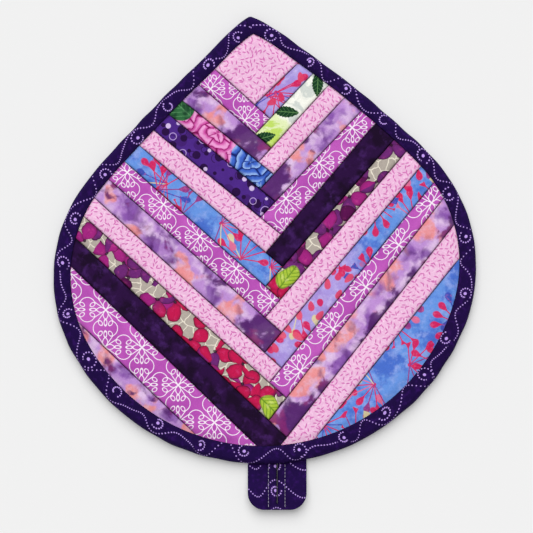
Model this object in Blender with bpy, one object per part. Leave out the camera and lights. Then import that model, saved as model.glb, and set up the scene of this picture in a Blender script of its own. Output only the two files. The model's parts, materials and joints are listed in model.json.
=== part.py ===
"""Quilted hot pad: a folded-braid patchwork of sewn strips on two battings and a
backing, bound round the edge with a folded strip that is mitred at the point,
and a flat hanging loop at the bottom.

Metres, +Z up. The pad lies face up on its back, with its point towards +Y.
"""
import math

import bmesh
import bpy
import numpy as np
from mathutils import Matrix, Vector

# Outline of the pad, drafted about the centre of its round bottom
bottom_radius = 0.1192
tip_rise = 0.1266
tip_lean = -0.0067
tip_corner_radius = 0.0030
left_slope = math.radians(41.5)
right_slope = math.radians(30.4)
left_side_radius = 0.949
right_side_radius = 0.486
left_shoulder_radius = 0.0864
right_shoulder_radius = 0.0862
inner_corner_radius = 0.0004

# Layers, each thickness from the back to the front
backing_thickness = 0.00045
insulating_thickness = 0.0013
cotton_thickness = 0.0012
strip_thickness = 0.0006
layer_gap = 0.0003
seam_gap = 0.0003

# Puff of the strips between their seams
puff_height = 0.0011
puff_reach = 0.0048
binding_dip_start = 0.0007
binding_dip_reach = 0.0042
strip_end_row = 0.0034

# Binding: a folded strip round the edge
binding_cloth = 0.0009
binding_front_left = 0.0088
binding_front_right = 0.0079
binding_front_bottom = 0.0100
binding_back = 0.0095
binding_nose = 0.0014
binding_crown = 0.0003
binding_crown_reach = 0.0032
binding_edge_roll = 0.00035
backing_rise_width = 0.0035

# Hanging loop: a strap folded flat, its two legs side by side
loop_offset = 0.0082
loop_strap_width = 0.0158
loop_strap_thickness = 0.0014
loop_drop = 0.0251
loop_tail = 0.0070
loop_slit = 0.0006
loop_slit_end = 0.0066
loop_corner_radius = 0.0092
loop_edge_radius = 0.00045
loop_fall_length = 0.0060
# The slot's floor is a hair above the back flap, so that the cut isn't flush with it
slot_floor_lift = 0.000075

# Where the sewing lines cross the middle of the pad, above the bottom centre
braid_axis = 0.0031
right_braid_start = 0.0843
left_braid_start = 0.0709

# Each strip: fabric, visible width across the strip, slope of its sewing line.
# The strips were sewn by hand, so no two are quite alike.
right_strips = (
    ("blue_spray_cloth", 0.0112, 44.1),
    ("cream_floral_cloth", 0.0117, 46.3),
    ("pink_dash_cloth", 0.0107, 47.6),
    ("lavender_mottle_cloth", 0.0107, 47.3),
    ("scroll_cloth", 0.0154, 46.5),
    ("plum_cloth", 0.0118, 49.7),
    ("petal_cloth", 0.0110, 48.8),
    ("pink_dash_cloth", 0.0123, 49.6),
    ("blue_spray_cloth", 0.0126, 50.0),
    ("scroll_cloth", 0.0128, 50.6),
    ("lavender_mottle_cloth", 0.0135, 51.8),
    ("pink_dash_cloth", 0.0122, 51.8),
    ("blue_spray_cloth", 0.0, 51.3),
)
left_strips = (
    ("scroll_cloth", 0.0114, 42.0),
    ("lavender_mottle_cloth", 0.0103, 41.0),
    ("rose_floral_cloth", 0.0110, 39.0),
    ("bubble_cloth", 0.0119, 39.3),
    ("pink_dash_cloth", 0.0130, 39.3),
    ("blue_spray_cloth", 0.0143, 40.3),
    ("scroll_cloth", 0.0129, 41.6),
    ("lavender_mottle_cloth", 0.0145, 41.5),
    ("pink_dash_cloth", 0.0105, 42.3),
    ("petal_cloth", 0.0156, 41.9),
    ("plum_cloth", 0.0146, 43.4),
    ("scroll_cloth", 0.0185, 44.0),
    ("lavender_mottle_cloth", 0.0, 43.7),
)
top_patch_cloth = "pink_dash_cloth"

# Colour and roughness of each material
finishes = {
    "binding_cloth": ((0.020, 0.004, 0.090), 0.85),
    "pink_dash_cloth": ((0.800, 0.440, 0.660), 0.85),
    "blue_spray_cloth": ((0.140, 0.260, 0.700), 0.85),
    "cream_floral_cloth": ((0.820, 0.830, 0.760), 0.85),
    "lavender_mottle_cloth": ((0.420, 0.210, 0.480), 0.85),
    "scroll_cloth": ((0.500, 0.150, 0.480), 0.85),
    "plum_cloth": ((0.027, 0.008, 0.075), 0.85),
    "petal_cloth": ((0.420, 0.060, 0.260), 0.85),
    "rose_floral_cloth": ((0.560, 0.150, 0.420), 0.85),
    "bubble_cloth": ((0.100, 0.030, 0.280), 0.85),
    "backing_cloth": ((0.180, 0.060, 0.330), 0.90),
    "insulating_felt": ((0.780, 0.780, 0.760), 0.95),
    "cotton_felt": ((0.860, 0.840, 0.780), 0.95),
}

# Facets
tip_steps = 4
side_steps = 4
shoulder_steps = 10
bottom_steps = 18
nose_steps = 6
loop_fall_steps = 4
loop_turn_steps = 10
strip_across = (0.0, 0.12, 0.30, 0.70, 0.88, 1.0)
patch_across = (0.6, 0.86)
crescent_steps = 11
crescent_end = 0.13
strip_middle_spacing = 0.040
# Shares of the loop's turn: down to the slit's end, and round the outer corner
slit_share = 0.5
corner_share = 0.8
# Edges sharper than this, in degrees, are shaded as creases
crease_angle = 35
strip_crease_angle = 60
loop_crease_angle = 50
# Where each row of a strip stops, inwards from a seam that crosses it
sewn_ends = (0.0, 0.0013, 0.0036)
# The most of a short row that each stop may take: at a seam, beneath the
# binding, and where both ends are beneath the binding
sewn_limits = (0.0, 0.10, 0.22)
covered_one = (0.0, 0.50, 0.72)
covered_both = (0.0, 0.30, 0.45)

# Levels worked out from the layers
backing_level = binding_cloth + layer_gap
insulating_level = backing_level + backing_thickness + layer_gap
cotton_level = insulating_level + insulating_thickness + layer_gap
strip_level = cotton_level + cotton_thickness + layer_gap
front_flap_level = strip_level + strip_thickness + layer_gap
pad_height = front_flap_level + binding_cloth
slot_floor = binding_cloth + slot_floor_lift
loop_tail_level = slot_floor + layer_gap
loop_tail_top = loop_tail_level + loop_strap_thickness
slot_ceiling = loop_tail_top + layer_gap


def circle_meet(centre_a, radius_a, centre_b, radius_b, prefer):
    """The point on both circles that lies furthest along the direction prefer."""
    across = centre_b - centre_a
    distance = across.length
    along = (radius_a**2 - radius_b**2 + distance**2) / (2 * distance)
    height = math.sqrt(max(radius_a**2 - along**2, 0.0))
    unit = across / distance
    normal = Vector((-unit.y, unit.x))
    middle = centre_a + unit * along
    return max((middle + normal * height, middle - normal * height), key=lambda point: point.dot(prefer))


def clockwise_arc(centre, radius, start, end, steps):
    """Points on an arc, clockwise, without its last point."""
    first = math.atan2(start.y - centre.y, start.x - centre.x)
    turn = (first - math.atan2(end.y - centre.y, end.x - centre.x)) % (2 * math.pi)
    angles = [first - turn * step / steps for step in range(steps)]
    return [centre + radius * Vector((math.cos(angle), math.sin(angle))) for angle in angles]


def pad_outline(left_inset=0.0, right_inset=None, bottom_inset=None):
    """The outline moved inwards, clockwise from the left of the point.

    Each side, shoulder and the bottom is one arc, and each shoulder is tangent
    to its side and to the bottom, so every inset has the same number of points.
    """
    right_inset = left_inset if right_inset is None else right_inset
    bottom_inset = left_inset if bottom_inset is None else bottom_inset
    tip = Vector((tip_lean, tip_rise))
    bottom = Vector((0.0, 0.0))
    left_centre = tip + left_side_radius * Vector((math.sin(left_slope), -math.cos(left_slope)))
    right_centre = tip - right_side_radius * Vector((math.sin(right_slope), math.cos(right_slope)))
    left_radius = left_side_radius - left_inset
    right_radius = right_side_radius - right_inset
    low_radius = bottom_radius - bottom_inset
    left_turn = left_shoulder_radius - (left_inset + bottom_inset) / 2
    right_turn = right_shoulder_radius - (right_inset + bottom_inset) / 2
    corner = max(tip_corner_radius - (left_inset + right_inset) / 2, inner_corner_radius)
    up, right = Vector((0, 1)), Vector((1, 0))
    tip_centre = circle_meet(left_centre, left_radius - corner, right_centre, right_radius - corner, up)
    left_shoulder = circle_meet(
        left_centre, left_radius - left_turn, bottom, low_radius - left_turn, -right)
    right_shoulder = circle_meet(
        right_centre, right_radius - right_turn, bottom, low_radius - right_turn, right)

    def touch(centre, other, radius):
        return centre + (other - centre).normalized() * radius

    tip_left = touch(left_centre, tip_centre, left_radius)
    tip_right = touch(right_centre, tip_centre, right_radius)
    side_right = touch(right_centre, right_shoulder, right_radius)
    low_right = touch(bottom, right_shoulder, low_radius)
    low_left = touch(bottom, left_shoulder, low_radius)
    side_left = touch(left_centre, left_shoulder, left_radius)
    return (
        clockwise_arc(tip_centre, corner, tip_left, tip_right, tip_steps)
        + clockwise_arc(right_centre, right_radius, tip_right, side_right, side_steps)
        + clockwise_arc(right_shoulder, right_turn, side_right, low_right, shoulder_steps)
        + clockwise_arc(bottom, low_radius, low_right, low_left, bottom_steps)
        + clockwise_arc(left_shoulder, left_turn, low_left, side_left, shoulder_steps)
        + clockwise_arc(left_centre, left_radius, side_left, tip_left, side_steps)
    )


def front_edge(extra=0.0):
    """The inner edge of the binding on the front, moved inwards by extra."""
    return pad_outline(binding_front_left + extra, binding_front_right + extra, binding_front_bottom + extra)


edge_points = pad_outline()
pad_bottom = min(point.y for point in edge_points)
plan_centre = Vector((
    (min(point.x for point in edge_points) + max(point.x for point in edge_points)) / 2,
    (max(point.y for point in edge_points) + pad_bottom - loop_drop) / 2,
))


def new_object(name, mesh_builder, material):
    """A named object from a bmesh drafted about the bottom centre."""
    bmesh.ops.translate(mesh_builder, verts=mesh_builder.verts, vec=(-plan_centre.x, -plan_centre.y, 0.0))
    bmesh.ops.recalc_face_normals(mesh_builder, faces=mesh_builder.faces)
    mesh = bpy.data.meshes.new(name)
    mesh_builder.to_mesh(mesh)
    mesh_builder.free()
    mesh.materials.append(material)
    thing = bpy.data.objects.new(name, mesh)
    bpy.context.scene.collection.objects.link(thing)
    return thing


def cloth_material(name):
    colour, roughness = finishes[name]
    material = bpy.data.materials.new(name)
    material.use_nodes = True
    shader = material.node_tree.nodes["Principled BSDF"]
    shader.inputs["Base Color"].default_value = (*colour, 1.0)
    shader.inputs["Roughness"].default_value = roughness
    shader.inputs["Metallic"].default_value = 0.0
    return material


def shade(thing, angle=crease_angle):
    thing.data.shade_smooth()
    thing.data.set_sharp_from_angle(angle=math.radians(angle))


def loft(rings, closed_profile):
    """A bmesh through rings of 3D points; the ends are capped if the profile is open."""
    body = bmesh.new()
    loops = [[body.verts.new(point) for point in ring] for ring in rings]
    count = len(loops[0])
    pairs = list(zip(loops, loops[1:]))
    if closed_profile:
        pairs.append((loops[-1], loops[0]))
    for near, far in pairs:
        for index in range(count):
            after = (index + 1) % count
            body.faces.new((near[index], near[after], far[after], far[index]))
    if not closed_profile:
        body.faces.new(loops[0])
        body.faces.new(loops[-1])
    return body


def lifted(points, height):
    return [Vector((point.x, point.y, height)) for point in points]


def layer_margin(low, high):
    """How far inside the outline a layer ends, clear of the binding's rounded inner wall."""
    middle = pad_height / 2
    furthest = max(abs(low - middle), abs(high - middle))
    share = min(furthest / (middle - binding_cloth), 1.0)
    return binding_cloth + binding_nose * (1 - math.sqrt(1 - share**2)) + layer_gap


def binding_section():
    """The folded strip's section as (share of the front width, inset, height)."""
    nose = binding_nose + binding_cloth
    middle = pad_height / 2
    inside = middle - binding_cloth
    section = [
        ("front", 0.0, front_flap_level),
        ("front", 0.0, pad_height - binding_edge_roll),
        ("front", -binding_edge_roll, pad_height),
        ("front", -binding_crown_reach, pad_height + binding_crown),
    ]
    for step in range(nose_steps + 1):
        angle = math.radians(90 - 180 * step / nose_steps)
        section.append(("edge", nose * (1 - math.cos(angle)), middle + middle * math.sin(angle)))
    section += [
        ("edge", binding_back - binding_edge_roll, 0.0),
        ("edge", binding_back, binding_edge_roll),
        ("edge", binding_back, binding_cloth),
    ]
    for step in range(nose_steps + 1):
        angle = math.radians(-90 + 180 * step / nose_steps)
        inset = binding_cloth + binding_nose * (1 - math.cos(angle))
        section.append(("edge", inset, middle + inside * math.sin(angle)))
    return section


def slot_box(extra, depth, low, high):
    """A cutter round the loop's tails."""
    half_width = loop_strap_width + loop_slit / 2 + extra
    box = bmesh.new()
    bmesh.ops.create_cube(box, size=1.0)
    size = (2 * half_width, depth + binding_cloth * 2, high - low)
    middle = (loop_offset, pad_bottom + (depth - binding_cloth * 2) / 2, (low + high) / 2)
    bmesh.ops.transform(box, matrix=Matrix.LocRotScale(Vector(middle), None, Vector(size)), verts=box.verts)
    return box


def cut(thing, cutter):
    """Subtract a hidden cutter from an object."""
    cutter.display_type = "WIRE"
    cutter.hide_render = True
    boolean = thing.modifiers.new("loop_slot", "BOOLEAN")
    boolean.operation = "DIFFERENCE"
    boolean.solver = "EXACT"
    boolean.object = cutter


def make_binding():
    rings = []
    for kind, inset, height in binding_section():
        points = front_edge(inset) if kind == "front" else pad_outline(inset)
        rings.append(lifted(points, height))
    binding = new_object("binding", loft(rings, True), cloth_material("binding_cloth"))
    slot = slot_box(layer_gap, loop_tail, slot_floor, slot_ceiling)
    cut(binding, new_object("loop_slot_cutter", slot, binding.data.materials[0]))
    shade(binding)


def sunk_layer(name, underside, thickness, material, top_sinks):
    """A layer whose underside sinks inside the binding's back flap, towards the table."""
    top = underside + thickness
    margin = layer_margin(underside, top)
    flap_end = binding_back + layer_gap
    slope = [(flap_end + backing_rise_width * share, backing_level * share) for share in (0.0, 0.5, 1.0)]
    rings = [lifted(pad_outline(inset), top - fall) for inset, fall in reversed(slope)] if top_sinks else []
    rings += [lifted(pad_outline(margin), top), lifted(pad_outline(margin), underside)]
    rings += [lifted(pad_outline(inset), underside - fall) for inset, fall in slope]
    return new_object(name, loft(rings, False), cloth_material(material))


def make_back_layers():
    """The backing and the insulating batting, both notched for the loop's tails."""
    backing = sunk_layer("backing", backing_level, backing_thickness, "backing_cloth", True)
    batting = sunk_layer(
        "insulating_batting", insulating_level, insulating_thickness, "insulating_felt", False)
    notch = slot_box(layer_gap, loop_tail + layer_gap, -binding_cloth, slot_ceiling)
    cutter = new_object("tail_notch_cutter", notch, backing.data.materials[0])
    for layer in (backing, batting):
        cut(layer, cutter)
        shade(layer)


def make_cotton_batting():
    body = bmesh.new()
    margin = layer_margin(cotton_level, cotton_level + cotton_thickness)
    face = body.faces.new([body.verts.new(point) for point in lifted(pad_outline(margin), cotton_level)])
    raised = bmesh.ops.extrude_face_region(body, geom=[face])["geom"]
    corners = [item for item in raised if isinstance(item, bmesh.types.BMVert)]
    bmesh.ops.translate(body, verts=corners, vec=(0, 0, cotton_thickness))
    shade(new_object("cotton_batting", body, cloth_material("cotton_felt")))


class Line:
    """A sewing line: a point on it, its direction, and its downhill side."""

    def __init__(self, point, direction, below=None):
        self.point = point
        self.direction = direction.normalized()
        side = Vector((-self.direction.y, self.direction.x))
        self.below = below or (side if side.y < 0 else -side)

    def depth(self, point):
        return (point - self.point).dot(self.below)

    def moved(self, distance):
        return Line(self.point + self.below * distance, self.direction, self.below)

    def turned(self):
        """The same line for a piece that lies on its other side."""
        return Line(self.point, self.direction, -self.below)

    def between(self, other, share):
        return Line(self.point.lerp(other.point, share), self.direction.lerp(other.direction, share))

    def meet(self, point, direction):
        """How far along a ray from point this line is crossed."""
        return -self.depth(point) / direction.dot(self.below)


def sewing_lines(strips, start, side):
    """The sewing line of each strip: side is 1 for strips that climb to the right."""
    lines = []
    height = start
    for _, width, slope in strips:
        angle = math.radians(slope)
        direction = Vector((side * math.cos(angle), math.sin(angle)))
        lines.append(Line(Vector((braid_axis, height)), direction))
        height -= width / math.cos(angle)
    return lines


def ray_span(point, direction, outline):
    """Where the straight line through point crosses a convex outline: nearest and furthest."""
    crossings = []
    normal = Vector((-direction.y, direction.x))
    for near, far in zip(outline, outline[1:] + outline[:1]):
        side_near = (near - point).dot(normal)
        side_far = (far - point).dot(normal)
        if (side_near > 0) != (side_far > 0):
            crossing = near.lerp(far, side_near / (side_near - side_far))
            crossings.append((crossing - point).dot(direction))
    return (min(crossings), max(crossings)) if crossings else None


edge_array = np.array([tuple(point) for point in front_edge()])
edge_next = np.roll(edge_array, -1, axis=0)


def inside_front_edge(point):
    """Distance from the binding's inner edge, less than zero beneath the binding."""
    here = np.array(tuple(point))
    run = edge_next - edge_array
    share = np.clip(((here - edge_array) * run).sum(1) / (run**2).sum(1), 0.0, 1.0)
    distance = np.linalg.norm(here - (edge_array + share[:, None] * run), axis=1).min()
    cross = run[:, 0] * (here[1] - edge_array[:, 1]) - run[:, 1] * (here[0] - edge_array[:, 0])
    return distance if (cross < 0).all() else -distance


def smooth(share):
    share = min(max(share, 0.0), 1.0)
    return share * share * (3 - 2 * share)


def strip_height(point, seams):
    """The top of a strip: low at its seams and at the binding, full between."""
    reach = min(min(abs(seam.depth(point)) / puff_reach, 1.0) for seam in seams)
    bulge = math.sqrt(max(1 - (1 - reach) ** 2, 0.0))
    rise = smooth((inside_front_edge(point) - binding_dip_start) / binding_dip_reach)
    return strip_level + strip_thickness + puff_height * bulge * rise


strip_margin = layer_margin(strip_level, strip_level + strip_thickness)
outline_ends = [pad_outline(strip_margin), front_edge(), front_edge(strip_end_row)]


def strip_mesh(lines, cuts, seams):
    """A strip with its rows of points on lines, side by side.

    Each row ends beneath the binding, or where it reaches the first of the
    sewing lines in cuts, which lie below the strip.
    """
    rows = []
    for line in lines:
        spans = [ray_span(line.point, line.direction, outline) for outline in outline_ends]
        middle = sum(spans[0]) / 2
        starts = [span[0] if span else middle for span in spans]
        ends = [span[1] if span else middle for span in spans]
        covered_start = covered_end = True
        for seam in cuts:
            crossing = seam.meet(line.point, line.direction)
            if line.direction.dot(seam.below) > 0:
                covered_end = crossing > ends[1]
                ends = [min(stop, crossing - inset) for stop, inset in zip(ends, sewn_ends)]
            else:
                covered_start = crossing < starts[1]
                starts = [max(stop, crossing + inset) for stop, inset in zip(starts, sewn_ends)]
        rows.append((line, starts, ends, covered_start, covered_end))
    longest = max(ends[0] - starts[0] for _, starts, ends, _, _ in rows)
    middles = max(1, round(longest / strip_middle_spacing))
    body = bmesh.new()
    grid = []
    for line, starts, ends, covered_start, covered_end in rows:
        length = ends[0] - starts[0]
        limits = covered_both if covered_start and covered_end else covered_one
        near_limits = limits if covered_start else sewn_limits
        far_limits = limits if covered_end else sewn_limits
        near = [starts[0] + min(stop - starts[0], length * limit) for stop, limit in zip(starts, near_limits)]
        far = [ends[0] - min(ends[0] - stop, length * limit) for stop, limit in zip(ends, far_limits)]
        inner = [near[-1] + (far[-1] - near[-1]) * step / middles for step in range(1, middles)]
        places = [line.point + line.direction * stop for stop in near + inner + far[::-1]]
        grid.append([body.verts.new((*place, strip_height(place, seams))) for place in places])
    rims = grid[0] + [row[-1] for row in grid[1:-1]] + grid[-1][::-1] + [row[0] for row in grid[-2:0:-1]]
    for row, following in zip(grid, grid[1:]):
        for index in range(len(row) - 1):
            body.faces.new((row[index], row[index + 1], following[index + 1], following[index]))
    lower = [body.verts.new((vertex.co.x, vertex.co.y, strip_level)) for vertex in rims]
    for index, vertex in enumerate(rims):
        after = (index + 1) % len(rims)
        body.faces.new((vertex, rims[after], lower[after], lower[index]))
    body.faces.new(lower)
    return body


def chord(outline):
    """The top of the outline's left side as a line."""
    return Line(outline[0], outline[0] - outline[-1])


def top_patch_lines(own):
    """Rows of the patch at the point, from the left side of the pad to its own seam."""
    under, edge, inner = (chord(outline) for outline in outline_ends)
    return [under.moved(seam_gap), edge, inner, *(inner.between(own, share) for share in patch_across), own]


def crescent_lines(own):
    """Rows of a last strip, which run straight down from its seam to the outline."""
    low, high = ray_span(own.point, own.direction, outline_ends[0])
    start, run = low + (high - low) * crescent_end, (high - low) * (1 - 2 * crescent_end)
    stops = [start + run * step / crescent_steps for step in range(crescent_steps + 1)]
    return [Line(own.point + own.direction * stop, own.below) for stop in stops]


def make_strips():
    right_lines = sewing_lines(right_strips, right_braid_start, 1)
    left_lines = sewing_lines(left_strips, left_braid_start, -1)
    names = sorted({top_patch_cloth, *(row[0] for row in right_strips + left_strips)})
    cloths = {name: cloth_material(name) for name in names}
    half = seam_gap / 2

    def make(name, cloth, lines, cuts, seams):
        body = strip_mesh(lines, [seam.moved(-half) for seam in cuts], seams)
        shade(new_object(name, body, cloths[cloth]), strip_crease_angle)

    def make_side(side, strips, own_lines, cross_lines):
        for index, (cloth, _, _) in enumerate(strips[:-1]):
            first, last = own_lines[index].moved(half), own_lines[index + 1].moved(-half)
            lines = [first.between(last, share) for share in strip_across]
            seams = [own_lines[index], own_lines[index + 1], cross_lines[index]]
            make(f"{side}_strip_{index + 1:02d}", cloth, lines, [cross_lines[index]], seams)
        own = own_lines[-1]
        name = f"{side}_strip_{len(strips):02d}"
        make(name, strips[-1][0], crescent_lines(own.moved(half)), [own.turned()], [own])

    top_own = right_lines[0].moved(-half)
    top_seams = [right_lines[0], left_lines[0]]
    make("top_patch", top_patch_cloth, top_patch_lines(top_own), [left_lines[0]], top_seams)
    make_side("right", right_strips, right_lines, left_lines)
    make_side("left", left_strips, left_lines, right_lines[1:])


def loop_level(y):
    """The underside of the loop: on the table outside, lifted where it enters the edge."""
    return loop_tail_level * smooth((y - (pad_bottom - loop_fall_length)) / loop_fall_length)


def loop_stations():
    """Pairs of points along the strap, on its slit side and on its outer side."""
    end = pad_bottom - loop_drop
    turn = end + loop_slit_end
    outer = loop_strap_width + loop_slit / 2
    inner = loop_slit / 2
    corner_centre = Vector((outer - loop_corner_radius, end + loop_corner_radius))
    tail = pad_bottom + loop_tail
    heights = [tail, pad_bottom + loop_tail / 2]
    heights += [pad_bottom - loop_fall_length * step / loop_fall_steps for step in range(loop_fall_steps + 1)]
    heights.append((heights[-1] + corner_centre.y) / 2)
    half = [(Vector((inner, height)), Vector((outer, height))) for height in heights]
    for step in range(loop_turn_steps + 1):
        share = step / loop_turn_steps
        down = min(share / slit_share, 1.0)
        inner_height = corner_centre.y + (turn + inner - corner_centre.y) * down
        around = math.radians(90) * max((share - slit_share) / (1 - slit_share), 0.0)
        slit_point = Vector((inner * math.cos(around), inner_height - inner * math.sin(around)))
        sweep = math.radians(90) * min(share / corner_share, 1.0)
        corner = corner_centre + loop_corner_radius * Vector((math.cos(sweep), -math.sin(sweep)))
        corner.x -= corner_centre.x * max((share - corner_share) / (1 - corner_share), 0.0)
        half.append((slit_point, corner))
    mirrored = [(Vector((-near.x, near.y)), Vector((-far.x, far.y))) for near, far in reversed(half[:-1])]
    return half + mirrored


def make_loop():
    top, rim = loop_strap_thickness, loop_edge_radius
    near_side = ((0.0, top - rim), (rim, top))
    far_side = ((rim, top), (0.0, top - rim), (0.0, rim), (rim, 0.0))
    rings = []
    for near, far in loop_stations():
        across = (far - near).normalized()
        places = [(near + across * inset, height) for inset, height in ((rim, 0.0), (0.0, rim)) + near_side]
        places += [(far - across * inset, height) for inset, height in far_side]
        rings.append([
            Vector((place.x + loop_offset, place.y, loop_level(place.y) + height)) for place, height in places
        ])
    shade(new_object("hanging_loop", loft(rings, False), cloth_material("binding_cloth")), loop_crease_angle)


def main():
    for thing in list(bpy.data.objects):
        bpy.data.objects.remove(thing)
    make_back_layers()
    make_cotton_batting()
    make_strips()
    make_binding()
    make_loop()


main()
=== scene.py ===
# Quilted hot pad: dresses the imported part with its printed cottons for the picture.
import json
import math

import bpy
import numpy as np
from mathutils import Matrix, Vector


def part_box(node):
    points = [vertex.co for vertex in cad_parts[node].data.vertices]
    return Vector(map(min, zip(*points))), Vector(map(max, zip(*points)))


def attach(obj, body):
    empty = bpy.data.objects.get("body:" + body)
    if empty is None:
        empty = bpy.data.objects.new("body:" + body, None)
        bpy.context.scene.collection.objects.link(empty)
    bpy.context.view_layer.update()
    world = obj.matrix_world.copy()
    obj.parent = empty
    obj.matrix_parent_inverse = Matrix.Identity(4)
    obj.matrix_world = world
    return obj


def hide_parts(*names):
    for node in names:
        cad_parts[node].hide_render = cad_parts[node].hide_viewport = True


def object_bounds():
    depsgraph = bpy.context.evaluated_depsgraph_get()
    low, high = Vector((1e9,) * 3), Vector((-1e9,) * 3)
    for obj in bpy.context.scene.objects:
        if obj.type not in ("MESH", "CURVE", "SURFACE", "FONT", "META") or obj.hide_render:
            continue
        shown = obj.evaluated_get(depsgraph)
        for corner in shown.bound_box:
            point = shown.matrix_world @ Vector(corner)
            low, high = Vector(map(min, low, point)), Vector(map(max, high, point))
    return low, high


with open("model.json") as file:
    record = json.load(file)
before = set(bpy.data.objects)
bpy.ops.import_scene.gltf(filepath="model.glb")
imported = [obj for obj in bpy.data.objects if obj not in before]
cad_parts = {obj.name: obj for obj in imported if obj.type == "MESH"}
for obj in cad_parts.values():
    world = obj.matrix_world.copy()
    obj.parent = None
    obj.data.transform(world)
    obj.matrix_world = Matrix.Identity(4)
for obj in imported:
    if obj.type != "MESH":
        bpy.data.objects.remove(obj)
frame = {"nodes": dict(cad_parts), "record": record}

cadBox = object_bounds()
mm = 0.001
pi = math.pi

# The photo's frame: one pixel on the pad, and the point that its middle looks at
picture = {
    "pixel": 0.547 * mm,
    "pixels": 533,
    "middle": (0.83 * mm, -1.8 * mm),
    "distance": 2.0,
    "sensor": 36.0,
    "nearest": 0.1,
    "farthest": 20,
}
light = {
    "world": 0.36,
    "sun": 2.46,
    "turn": 6,                        # degrees round from straight behind the point
    "height": 54,                     # degrees above the table
    "spread": 58,                     # degrees across, so shadows are soft
    "table": 0.886,
    "tableSize": 6,
    "glow": 0.20,                     # how much of the table's paleness its shadows can't take away
}


def sRgb(red, green, blue):
    # a colour as read off a screen, 0 to 255, as Blender's own linear values
    parts = [value / 255 for value in (red, green, blue)]
    return tuple(p / 12.92 if p <= 0.04045 else ((p + 0.055) / 1.055) ** 2.4 for p in parts) + (1.0,)


def setUpPicture():
    camera = bpy.data.cameras.new("camera")
    camera.sensor_width = picture["sensor"]
    field = picture["pixel"] * picture["pixels"]
    camera.lens = picture["sensor"] * (picture["distance"] - cadBox[1].z) / field
    camera.clip_start = picture["nearest"]
    camera.clip_end = picture["farthest"]
    eye = bpy.data.objects.new("camera", camera)
    eye.location = (*picture["middle"], picture["distance"])
    bpy.context.scene.collection.objects.link(eye)
    bpy.context.scene.camera = eye

    sun = bpy.data.lights.new("softBox", "SUN")
    sun.energy = light["sun"]
    sun.angle = math.radians(light["spread"])
    lamp = bpy.data.objects.new("softBox", sun)
    lamp.rotation_euler = (math.radians(light["height"] - 90), 0, math.radians(light["turn"]))
    bpy.context.scene.collection.objects.link(lamp)

    world = bpy.data.worlds.new("room")
    world.use_nodes = True
    world.node_tree.nodes["Background"].inputs["Color"].default_value = (1, 1, 1, 1)
    world.node_tree.nodes["Background"].inputs["Strength"].default_value = light["world"]
    bpy.context.scene.world = world
    bpy.context.scene.view_settings.view_transform = "Standard"


def layTable():
    bpy.ops.mesh.primitive_plane_add(size=light["tableSize"], location=(0, 0, 0))
    table = bpy.context.object
    table.name = "table"
    paper = bpy.data.materials.new("paleTable")
    paper.use_nodes = True
    nodes, links = paper.node_tree.nodes, paper.node_tree.links
    shader = nodes["Principled BSDF"]
    glow = nodes.new("ShaderNodeEmission")
    for socket in (shader.inputs["Base Color"], glow.inputs["Color"]):
        socket.default_value = (light["table"],) * 3 + (1,)
    shader.inputs["Roughness"].default_value = 1.0
    shader.inputs["Specular IOR Level"].default_value = 0.0
    path = nodes.new("ShaderNodeLightPath")
    share = nodes.new("ShaderNodeMath")
    share.operation = "MULTIPLY"
    share.inputs[1].default_value = light["glow"]
    both = nodes.new("ShaderNodeMixShader")
    links.new(path.outputs["Is Camera Ray"], share.inputs[0])
    for index, made in enumerate((share, shader, glow)):
        links.new(made.outputs[0], both.inputs[index])
    links.new(both.outputs[0], nodes["Material Output"].inputs[0])
    table.data.materials.append(paper)


class Amount:
    # a value that varies over the cloth, so that a print can be written as sums and products
    def __init__(self, cloth, socket):
        self.cloth = cloth
        self.socket = socket

    def math(self, kind, *others, **settings):
        return self.cloth.node("Math", (self, *others), operation=kind, **settings)

    def __abs__(self):
        return self.math("ABSOLUTE")

    def sine(self):
        return self.math("SINE")

    def least(self, first, *rest):
        lower = self.math("MINIMUM", first)
        return lower.least(*rest) if rest else lower

    def most(self, first, *rest):
        higher = self.math("MAXIMUM", first)
        return higher.most(*rest) if rest else higher

    def over(self, limit):
        return self.math("GREATER_THAN", limit)

    def under(self, limit):
        return self.math("LESS_THAN", limit)

    def smooth(self, low, high):
        return self.cloth.node("MapRange", (self, low, high), interpolation_type="SMOOTHSTEP")

    def inside(self, blur=0.12):
        # 1 where a distance is below zero
        return self.smooth(blur, -blur)

    def line(self, width):
        return (abs(self) - width / 2).inside()

    def wrap(self, period):
        # folds a value into one repeat of the pattern, with 0 at its middle
        return self.math("WRAP", period / 2, -period / 2)

    def parts(self, kind="XYZ"):
        made = self.cloth.node("Separate" + kind, (self,)).socket.node
        return [Amount(self.cloth, socket) for socket in made.outputs]


def arithmetic(kind, swapped):
    def combine(self, other):
        return self.cloth.node("Math", (other, self) if swapped else (self, other), operation=kind)
    return combine


for word, kind in (("add", "ADD"), ("sub", "SUBTRACT"), ("mul", "MULTIPLY"), ("truediv", "DIVIDE")):
    setattr(Amount, f"__{word}__", arithmetic(kind, False))
    setattr(Amount, f"__r{word}__", arithmetic(kind, True))


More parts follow.
